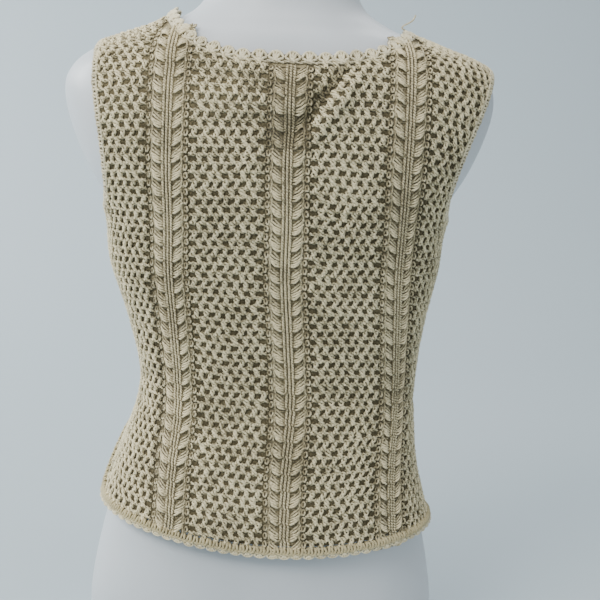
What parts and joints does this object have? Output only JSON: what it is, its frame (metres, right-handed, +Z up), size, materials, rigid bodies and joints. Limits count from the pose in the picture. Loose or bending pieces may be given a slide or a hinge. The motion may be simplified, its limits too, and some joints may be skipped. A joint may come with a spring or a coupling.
{
  "type": "crochet top on dress form",
  "caption": "Sleeveless openwork crochet top with raised vertical ribs, scalloped neck edging and rolled hem, worn by a smooth limbless dress form that stands on a flat base.",
  "frame": {"origin": "middle of the form's flat base, on the surface that it stands on", "axes": "+Z up from the base to the neck; -Y towards the back of the top, which is the side shown; +Y towards its front; +X to the right of someone looking at the back"},
  "size_m": [0.3782, 0.2301, 0.651],
  "materials": {
    "dress_form": "smooth satin white moulded shell",
    "crochet_yarn": "sand-coloured plied cotton yarn, openwork crochet with raised ribs",
    "edging_yarn": "the same cotton yarn in a scalloped shell edging",
    "hem_yarn": "the same cotton yarn, curled into a roll and slightly browner in its crease"
  },
  "bodies": {
    "root": {"dress_form": "dress_form", "back_panel": "crochet_yarn", "front_panel": "crochet_yarn", "neck_edging": "edging_yarn", "left_armhole_edging": "edging_yarn", "right_armhole_edging": "edging_yarn", "hem_roll": "hem_yarn"}
  },
  "joints": []
}
